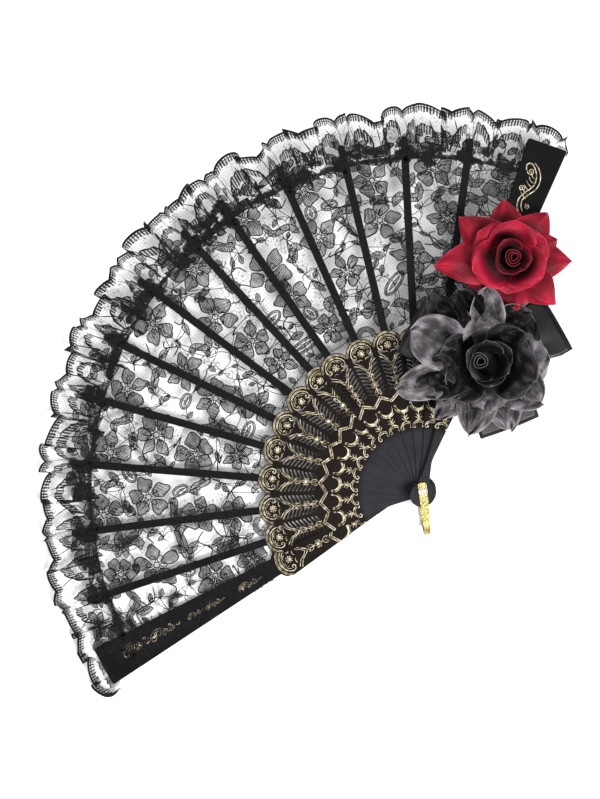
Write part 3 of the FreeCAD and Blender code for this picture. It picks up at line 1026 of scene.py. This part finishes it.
def folds(x, y, seed):
    """Crossing creases of crushed cloth, in millimetres, between about -1 and 1."""
    total = np.zeros_like(x)
    for k, wave in enumerate((15.0, 9.5, 6.0, 4.0)):
        a = seed * 1.7 + k * 2.1
        across = x * math.cos(a) + y * math.sin(a)
        total += (1 - 2 * np.abs(np.sin(math.pi * across / wave + seed + 0.4 * np.sin(y / 5.0)))) * 0.6 ** k
    return total / 1.5


def petal(pile, centre, azimuth, base, height, length, width, pitches, wrap, cup=0.0, ripple=0.0, ripples=2.0,
          point=0.0, roll=0.0, crease=0.0, crumple=0.0, seed=0.0, slot=0):
    """One cloth petal, its azimuth as the camera sees it. pitches are its rise in degrees at its foot,
    middle and tip; wrap is how closely it goes round the flower's axis; point draws its tip out,
    roll turns its rim over, crease folds its middle."""
    v = np.linspace(0, 1, PETAL_GRID) ** 0.85
    step = np.diff(v, prepend=0) * length
    pitch = np.radians(np.interp(v, [0, 0.5, 1], pitches))
    rho = base + np.cumsum(np.cos(pitch) * step)
    rise = height + np.cumsum(np.sin(pitch) * step)
    round_tip = np.sqrt(np.clip(1 - v ** 5, 0, 1))
    sharp_tip = np.clip(1 - v, 0, 1) ** 0.8
    swell = 0.42 + 0.58 * np.sin(np.clip(v * 1.25, 0, 1) * math.pi / 2)
    shape = swell * ((1 - point) * round_tip + point * sharp_tip)
    u = np.linspace(-1, 1, PETAL_GRID)
    half = width / 2 * shape
    across = half[:, None] * u[None, :]
    bend = np.maximum(rho, 2.0)[:, None] * wrap
    turn = np.clip(across / bend, -2.6, 2.6)
    radial = rho[:, None] - bend * (1 - np.cos(turn))
    side = bend * np.sin(turn)
    uu, vv = np.meshgrid(u, v)
    rim = np.maximum(np.abs(uu) ** 3, vv ** 5)
    z = rise[:, None] + cup * uu ** 2 * vv - roll * rim ** 2 * vv
    z = z + ripple * np.sin(ripples * math.pi * uu + seed) * vv ** 1.5
    z = z + ripple * 0.5 * wander(uu * 2 + vv * 3, seed) * vv
    z = z - crease * np.abs(uu) * vv
    z = z + crumple * folds(uu * width / 2, vv * length, seed) * np.minimum(1, 1.6 * vv)
    radial = radial + roll * 0.6 * rim * vv + 0.6 * ripple * wander(uu * 1.5 + 1.3 * vv, seed + 1) * vv
    a = math.radians(azimuth - CAMERA_TURN)
    x = centre[0] + radial * math.cos(a) - side * math.sin(a)
    y = centre[1] + radial * math.sin(a) + side * math.cos(a)
    # The last value runs from the petal's foot to its rim; the cloth material paints shade at the foot and
    # highlight towards the rim from it.
    pile.surface(x, y, z, slot, np.maximum(np.abs(uu), vv))


def bud(pile, centre, bottom, top, inner, outer, turns, start):
    """A rolled centre: one strip wound into a spiral, its upper rim turned a little outwards."""
    a = np.linspace(0, turns * 2 * math.pi, int(turns * 30))
    share = a / a[-1]
    r = inner + (outer - inner) * share
    v = np.linspace(0, 1, 9)[:, None]
    rr = r * (0.72 + 0.28 * v) + 0.9 * v ** 6 + 0.35 * np.sin(3 * a) * v
    zz = bottom + (top - bottom) * v * (1 - 0.18 * share) + 0.5 * np.sin(2 * a + 1) * v
    x = centre[0] + rr * np.cos(a + start)
    y = centre[1] + rr * np.sin(a + start)
    # The height up the strip is its foot-to-rim value: painted shade low in the spiral, painted highlight
    # along its top rim.
    pile.surface(x, y, zz, 0, np.broadcast_to(v, x.shape))


def bowl(pile, centre, bottom, top, radius, slot=0):
    """The closed cloth inside a rose, under its centre."""
    v = np.linspace(0, 1, 6)
    a = np.linspace(0, 2 * math.pi, 33)
    rr = (0.6 + (radius - 0.6) * v)[:, None] * np.ones(33)
    zz = (bottom + (top - bottom) * v ** 3)[:, None] * np.ones(33)
    # A foot-to-rim value of nought everywhere gives it the cloth's darkest tones: painted shade in the rose's
    # hollow.
    pile.surface(centre[0] + rr * np.cos(a), centre[1] + rr * np.sin(a), zz, slot, np.zeros(rr.shape))


def cloth_piece(name, pile, made_of, slot, thickness, cut, *nodes):
    """One tier of petals, cut side by side from a strip of cloth as wide as the longest petal (cut, which is
    not used).
    """
    # edge is the foot-to-rim value behind the cloth's painted shade and painted highlight.
    points, faces, slots, edge = pile.arrays()
    obj = mesh_object(name, points, faces, made_of, slots, edge)
    solid = obj.modifiers.new("thickness", "SOLIDIFY")
    solid.thickness = thickness * MM
    solid.offset = 0
    soft = obj.modifiers.new("smooth", "SUBSURF")
    soft.levels = soft.render_levels = 1
    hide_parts(*nodes)
    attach(obj, "front_guard")


def add_red_rose():
    velvet = cloth_material("red_velvet", (0.018, 0.0, 0.001), (0.15, 0.0, 0.009), (0.36, 0.005, 0.028), 0.6,
                            (0.52, 0.05, 0.08), Sheen_Weight=0.04, Specular_IOR_Level=0.15)
    # A darker copy of the red velvet: painted shade for the cup's inner petals, its hollow and its centre.
    deep = cloth_material("red_velvet_painted_shade", (0.004, 0.0, 0.0), (0.05, 0.0, 0.003), (0.22, 0.002, 0.016), 0.6,
                          (0.30, 0.03, 0.035), Sheen_Weight=0.02, Specular_IOR_Level=0.12)
    centre = middle("red_rose_bud")
    foot = low("red_rose_outer_petals")[2]
    pile = Pile()
    outer = ((95, 36), (50, 36), (22, 31), (-2, 37.5), (-44, 38.5), (-81, 31), (228, 34), (185, 45),
             (140, 39))
    for k, (turn, reach) in enumerate(outer):
        petal(pile, centre, turn, 5.0, foot + (k % 3) * 1.1, reach - 5.0, 50.0, (14, 8, -6 + 5 * (k % 2)),
              wrap=3.0, cup=-2.0, point=1.0, crease=2.0, ripple=0.8, seed=k * 1.3)
    cloth_piece("red_rose_outer", pile, [velvet], "red_satin", 0.35, 41.0, "red_rose_outer_petals")
    pile = Pile()
    foot = low("red_rose_cup_petals")[2]
    for k, (turn, base, length, width, pitches, lift) in enumerate((
            (200, 9.0, 20, 38, (50, 62, 8), 0.0), (325, 8.5, 18, 36, (52, 64, 16), 0.4),
            (262, 8.5, 16, 34, (48, 60, 12), -0.6), (85, 8.5, 18, 36, (50, 62, 14), 0.0),
            (25, 9.5, 17, 30, (46, 58, 8), -1.0), (140, 10.0, 17, 32, (40, 54, 4), -1.0))):
        petal(pile, centre, turn, base, foot + lift, length, width, pitches, wrap=1.15, roll=2.6,
              ripple=0.5, seed=k * 2.1)
    # The inner petals and the bowl take slot 1, the darker copy: painted shade.
    inner = ((235, 6.0, 17, 26), (115, 5.8, 16.5, 24), (350, 6.0, 16, 24))
    for k, (turn, base, length, width) in enumerate(inner):
        petal(pile, centre, turn, base, foot + 2.5, length, width, (72, 84, 55), wrap=1.0, roll=1.2,
              ripple=0.4, seed=k + 0.5, slot=1)
    bowl(pile, centre, foot + 1.0, foot + 5.0, 9.0, 1)
    cloth_piece("red_rose_cup", pile, [velvet, deep], "red_satin", 0.35, 20.0, "red_rose_cup_petals")
    pile = Pile()
    bud(pile, centre + (0.8, -0.6), foot + 3, high("red_rose_bud")[2] - 2.0, 0.7, 4.7, 2.6, 1.0)
    cloth_piece("red_rose_centre", pile, [deep], "red_satin", 0.3, 16.0, "red_rose_bud")


def add_black_rose():
    satin = cloth_material("black_satin", (0.0006, 0.0006, 0.0007), (0.0025, 0.0025, 0.0028),
                           (0.035, 0.033, 0.036), 0.50, (0.15, 0.14, 0.15), Sheen_Weight=0.01,
                           Specular_IOR_Level=0.09)
    # A lit copy of the black satin, grey with a mauve tint: painted sheen for the petals that catch the
    # light.
    painted_sheen_satin = cloth_material("black_satin_painted_sheen", (0.004, 0.0038, 0.004), (0.055, 0.050, 0.056),
                          (0.26, 0.235, 0.255), 0.55, (0.30, 0.27, 0.29), streak=110.0,
                          Sheen_Weight=0.02, Specular_IOR_Level=0.25)
    centre = middle("black_rose_bud")
    foot = low("black_rose_outer_petals")[2]
    pile = Pile()
    # Columns: turn, reach, width, lift, point and slot; slot 1 takes the painted sheen.
    outer = ((157, 47, 34, 4, 0.1, 1), (197, 53, 26, 1.5, 0.3, 1), (130, 52, 30, 1.0, 0.6, 0),
             (112, 45, 32, 1.5, 0.2, 0), (90, 43, 26, 3, 0.4, 1), (48, 38, 34, 0.5, 0.0, 0),
             (5, 36, 36, 1.5, 0.1, 1),
             (-35, 39, 42, 3, 0.6, 1), (-70, 41, 40, 2, 0.8, 1), (-104, 43, 40, 3.5, 0.8, 1),
             (-132, 44, 36, 2, 0.9, 1), (-163, 42, 30, 4.5, 0.2, 0))
    for k, (turn, reach, width, lift, point, slot) in enumerate(outer):
        petal(pile, centre, turn, 8.0, foot + lift, (reach - 8.0) * 1.08, width * 1.1, (34, 14, -20),
              wrap=2.0, cup=2.0, ripple=1.8, ripples=1.6, roll=1.8 * (1 - point), crease=3.0 * point,
              crumple=3.4, seed=k * 1.9, point=point, slot=slot)
    cloth_piece("black_rose_outer", pile, [satin, painted_sheen_satin], "black_satin", 0.4, 48.0, "black_rose_outer_petals")
    pile = Pile()
    foot = low("black_rose_middle_petals")[2]
    # The last column is the slot; 1 takes the painted sheen.
    for k, (turn, base, length, width, pitches, slot) in enumerate((
            (170, 8, 24, 36, (52, 44, -6), 0), (40, 8, 24, 34, (55, 50, -4), 0),
            (98, 8.5, 22, 28, (50, 44, -16), 1), (-22, 8, 26, 38, (52, 48, -6), 0),
            (-85, 8, 23, 32, (50, 34, -22), 1), (-140, 8.5, 22, 30, (50, 40, -14), 0))):
        petal(pile, centre, turn, base, foot + 1.5 * (k % 2), length, width, pitches, wrap=1.5, roll=2.4,
              ripple=1.6, ripples=1.8, crumple=2.2, seed=k * 2.7 + 1, slot=slot)
    cloth_piece("black_rose_middle", pile, [satin, painted_sheen_satin], "black_satin", 0.4, 26.0,
                "black_rose_middle_petals")
    pile = Pile()
    foot = low("black_rose_inner_petals")[2]
    inner = ((215, 7.0, 15, 26), (95, 7.5, 16, 26), (-25, 7.5, 14.5, 27),
             (155, 9.0, 15, 25), (35, 9.0, 16, 25), (-85, 9.0, 14, 27))
    for k, (turn, base, length, width) in enumerate(inner):
        petal(pile, centre, turn, base, foot - 5.0, length, width, (82, 80, 48), wrap=1.05, roll=1.4,
              ripple=0.7, seed=k * 1.1 + 2)
    bowl(pile, centre, foot - 6.5, foot - 2.0, 10.0)
    cloth_piece("black_rose_inner", pile, [satin, painted_sheen_satin], "black_satin", 0.4, 16.0, "black_rose_inner_petals")
    pile = Pile()
    bud(pile, centre + (-2.6, 4.4), foot - 6.0, high("black_rose_bud")[2] - 6.0, 0.8, 4.4, 2.2, 0.5)
    cloth_piece("black_rose_centre", pile, [satin, painted_sheen_satin], "black_satin", 0.35, 14.0, "black_rose_bud")


RIBBON_WIDTH = 37.0
RIBBON_NEAR = 13.0               # from the black rose's middle to where a loop starts


def ribbon_line(far, bottom, top):
    """The loop from the side: out along the bottom, round the fold and back along the top."""
    fold = (top - bottom) / 2
    run = np.linspace(RIBBON_NEAR, far - fold, 16)
    bend = np.radians(np.linspace(-90, 90, 9))
    back = run[::-1]
    arch = top + 1.4 * np.sin((back - RIBBON_NEAR) / (far - RIBBON_NEAR) * math.pi)
    return np.vstack([np.column_stack([run, np.full(16, bottom)]),
                      (far - fold, bottom + fold) + fold * np.column_stack([np.cos(bend), np.sin(bend)]),
                      np.column_stack([back, arch])])


def add_ribbons():
    pale = (0.03, 0.03, 0.032)
    satin = cloth_material("ribbon_satin", (0.002, 0.002, 0.0022), (0.006, 0.006, 0.0065), pale, 0.40, pale,
                           weave=2400.0, Sheen_Weight=0.01, Specular_IOR_Level=0.25, Anisotropic=0.4)
    centre = middle("black_rose_bud")
    for name, far, bow in (("right", 49.5, 0.4), ("lower", 41.0, 0.6), ("left", 50.0, 0.5)):
        loop = "ribbon_loop_" + name
        toward = middle(loop) - centre
        line = ribbon_line(far, low(loop)[2] + 0.15, high(loop)[2] - 0.15)
        u = np.linspace(-1, 1, 17)
        out = ((line[:, 0] - RIBBON_NEAR) / (far - RIBBON_NEAR))[:, None]
        half = RIBBON_WIDTH / 2 * (0.55 + 0.45 * np.clip(out * 1.3, 0, 1))
        x = line[:, :1] + bow * (1 - u ** 2) * out
        z = line[:, 1:] + 0.5 * np.sin(u * 5 + 1) * (1 - out) * 1.2
        pile = Pile()
        # The value across the ribbon makes it paler towards both sides: painted highlight.
        pile.surface(x, half * u, z, 0, np.broadcast_to(np.abs(u) * 0.86, x.shape))
        flat, faces, _, edge = pile.arrays()
        points = turned(flat, math.degrees(math.atan2(toward[1], toward[0])), centre)
        obj = mesh_object("ribbon_" + name, points, faces, [satin], hatch=edge)
        solid = obj.modifiers.new("thickness", "SOLIDIFY")
        solid.thickness = 0.18 * MM
        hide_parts(loop)
        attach(obj, "front_guard")


def paint(made, *nodes):
    for name in nodes:
        frame["nodes"][name].data.materials[0] = made


def add_backing():
    """The felt pad and the two calyxes that hold the flowers to the guard."""
    felt = material("felt", (0.012, 0.012, 0.012), 0.95, Sheen_Weight=0.4)
    patterned(felt, "ShaderNodeTexNoise", [(0.3, grey(0.006)), (0.7, grey(0.03))], (0.8, 0.0004),
              Scale=1600.0, Detail=6.0)
    paint(felt, "flower_pad")
    calyx = material("calyx", (0.010, 0.018, 0.010), 0.5)
    patterned(calyx, "ShaderNodeTexNoise", [(0.3, (0.006, 0.012, 0.006)), (0.7, (0.02, 0.034, 0.018))],
              (0.4, 0.0003), Scale=500.0, Detail=4.0)
    paint(calyx, "red_rose_calyx", "black_rose_calyx")


def add_metal():
    brass = material("stamped_brass", (0.45, 0.37, 0.15), 0.42, Metallic=1.0)
    patterned(brass, "ShaderNodeTexVoronoi", [(0.1, (0.52, 0.44, 0.20)), (0.6, (0.32, 0.245, 0.08))],
              (0.5, 0.0004), out="Distance", Scale=800.0)
    paint(brass, "shackle")
    steel = material("rivet_metal", (0.62, 0.56, 0.42), 0.3, Metallic=1.0)
    patterned(steel, "ShaderNodeTexNoise", [(0.3, grey(0.2)), (0.7, grey(0.45))], (0.3, 0.0001),
              into="Roughness", Scale=900.0, Detail=5.0)
    paint(steel, "pivot_pin", "rivet_washer")


add_frill()
add_red_rose()
add_black_rose()
add_ribbons()
add_backing()
add_metal()


# ---- stage ----
def add_stage():
    white = material("floor", (0.93, 0.93, 0.93), 0.9)
    shade = node(white, "ShaderNodeTexNoise", Scale=3.0, Detail=2.0)
    ramp(white, shade, "Fac", [(0.3, grey(0.92)), (0.7, grey(0.94))], "Base Color")
    size = 3.0 / MM
    corners = [(x, y, FLOOR_Z) for x, y in ((-size, -size), (size, -size), (size, size), (-size, size))]
    mesh_object("floor", corners, [(0, 1, 2, 3)], [white], smooth=False)

    world = bpy.data.worlds.new("studio")
    world.use_nodes = True
    world.node_tree.nodes["Background"].inputs["Color"].default_value = (1, 1, 1, 1)
    world.node_tree.nodes["Background"].inputs["Strength"].default_value = 0.45
    bpy.context.scene.view_settings.view_transform = "Standard"
    bpy.context.scene.world = world
    target = Vector((0, 0.09, 0))
    for name, at, energy, size in (("key", (-0.08, -0.75, 1.10), 30, 0.6),
                                   ("fill", (0.3, 0.8, 1.1), 11, 0.9)):
        lamp = bpy.data.lights.new(name, "AREA")
        lamp.energy = energy
        lamp.size = size
        obj = bpy.data.objects.new(name, lamp)
        obj.location = at
        obj.rotation_euler = (target - Vector(at)).to_track_quat("-Z", "Y").to_euler()
        bpy.context.scene.collection.objects.link(obj)


def add_camera():
    """Straight above the open fan, turned so that the front guard points up and to the right."""
    data = bpy.data.cameras.new("camera")
    obj = bpy.data.objects.new("camera", data)
    distance, leaf_height_m, seen_height = 1.0, 0.010, 0.4802
    data.sensor_fit = "VERTICAL"
    data.sensor_height = 24.0
    data.lens = data.sensor_height * (distance - leaf_height_m) / seen_height
    obj.location = (-0.0055, 0.0915, distance)
    obj.rotation_euler = (0, 0, math.radians(-CAMERA_TURN))
    bpy.context.scene.collection.objects.link(obj)
    bpy.context.scene.camera = obj


add_stage()
add_camera()
